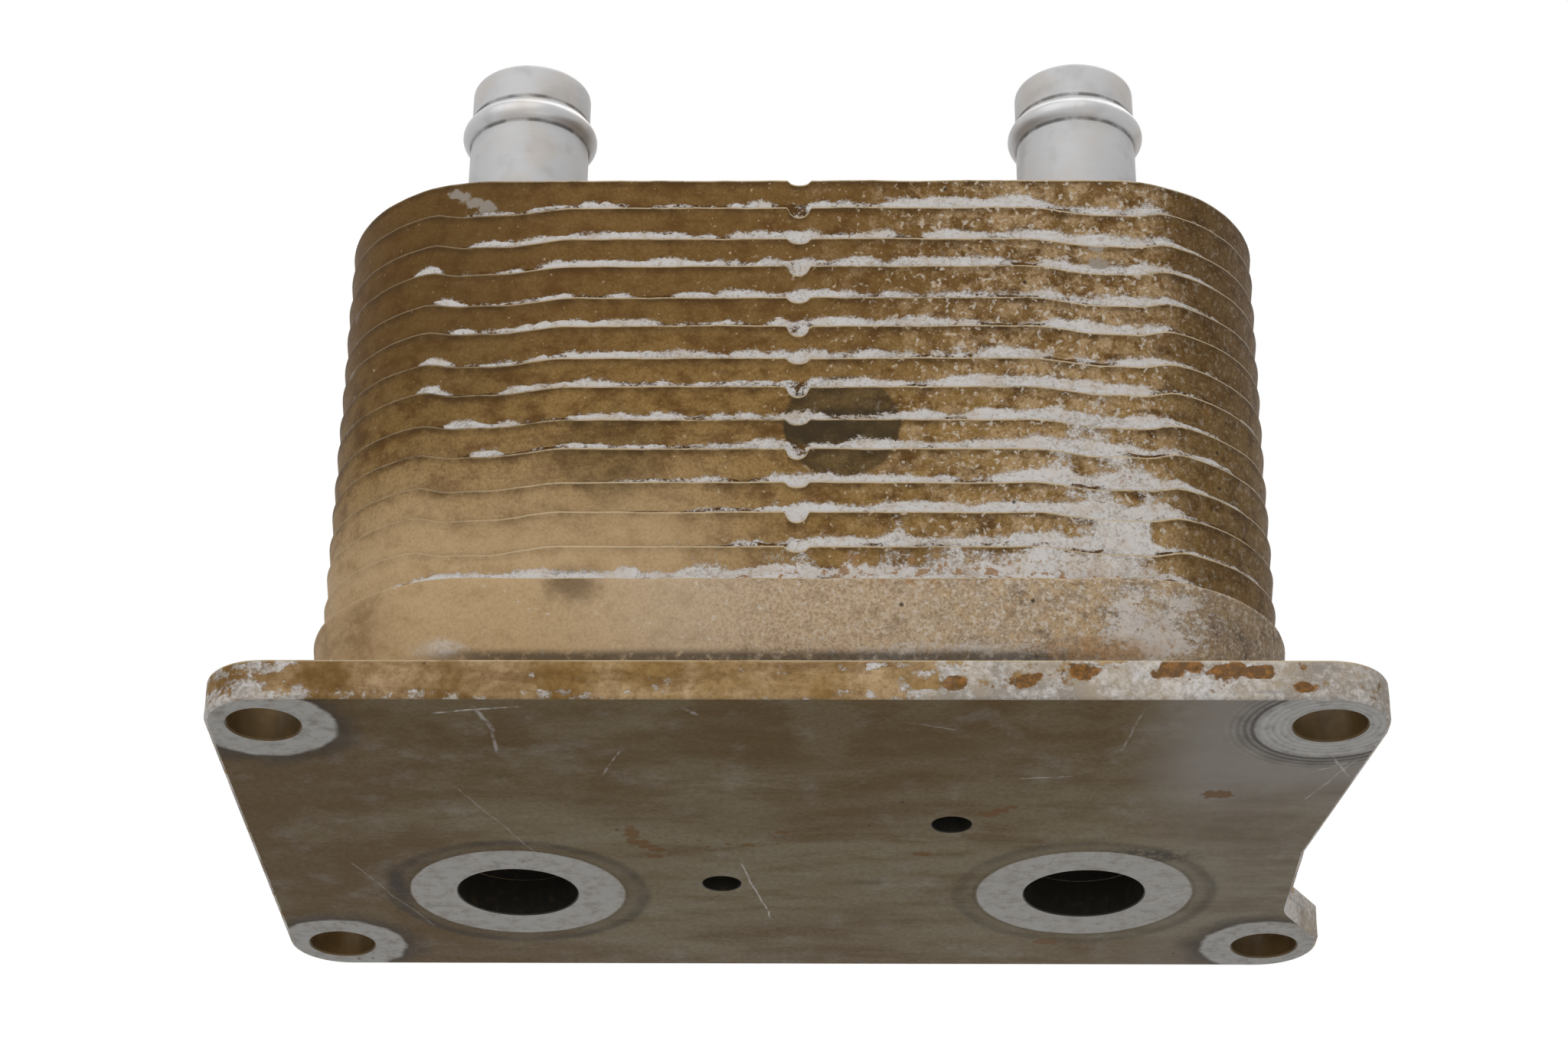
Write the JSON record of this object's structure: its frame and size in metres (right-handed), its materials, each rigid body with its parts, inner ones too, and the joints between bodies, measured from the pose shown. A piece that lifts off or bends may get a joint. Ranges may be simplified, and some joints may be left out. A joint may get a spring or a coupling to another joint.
{
  "type": "oil cooler",
  "caption": "Stacked-plate aluminium oil cooler on a bolted mounting flange, with two oil ports in its base and two beaded coolant nipples on top.",
  "frame": {"origin": "middle of the flange's mounting face, at the part's lowest level", "axes": "+Z from the mounting face up the stack to the nipples' ends, +X along the long side, the nipples stand on the -Y side"},
  "size_m": [0.139, 0.0848, 0.1035],
  "materials": {
    "flange": "weathered",
    "core": "brazed, stained",
    "turbulator": "mill",
    "nipple": "satin"
  },
  "bodies": {
    "root": {"mounting_flange": "flange", "base_tray": "core", "core_dish_02": "core", "core_dish_03": "core", "core_dish_04": "core", "core_dish_05": "core", "core_dish_06": "core", "core_dish_07": "core", "core_dish_08": "core", "core_dish_09": "core", "core_dish_10": "core", "core_dish_11": "core", "core_dish_12": "core", "core_dish_13": "core", "top_dish": "core", "oil_turbulator_1": "turbulator", "oil_turbulator_2": "turbulator", "oil_turbulator_3": "turbulator", "oil_turbulator_4": "turbulator", "oil_turbulator_5": "turbulator", "oil_turbulator_6": "turbulator", "coolant_nipple_left": "nipple", "coolant_nipple_right": "nipple"}
  },
  "joints": []
}
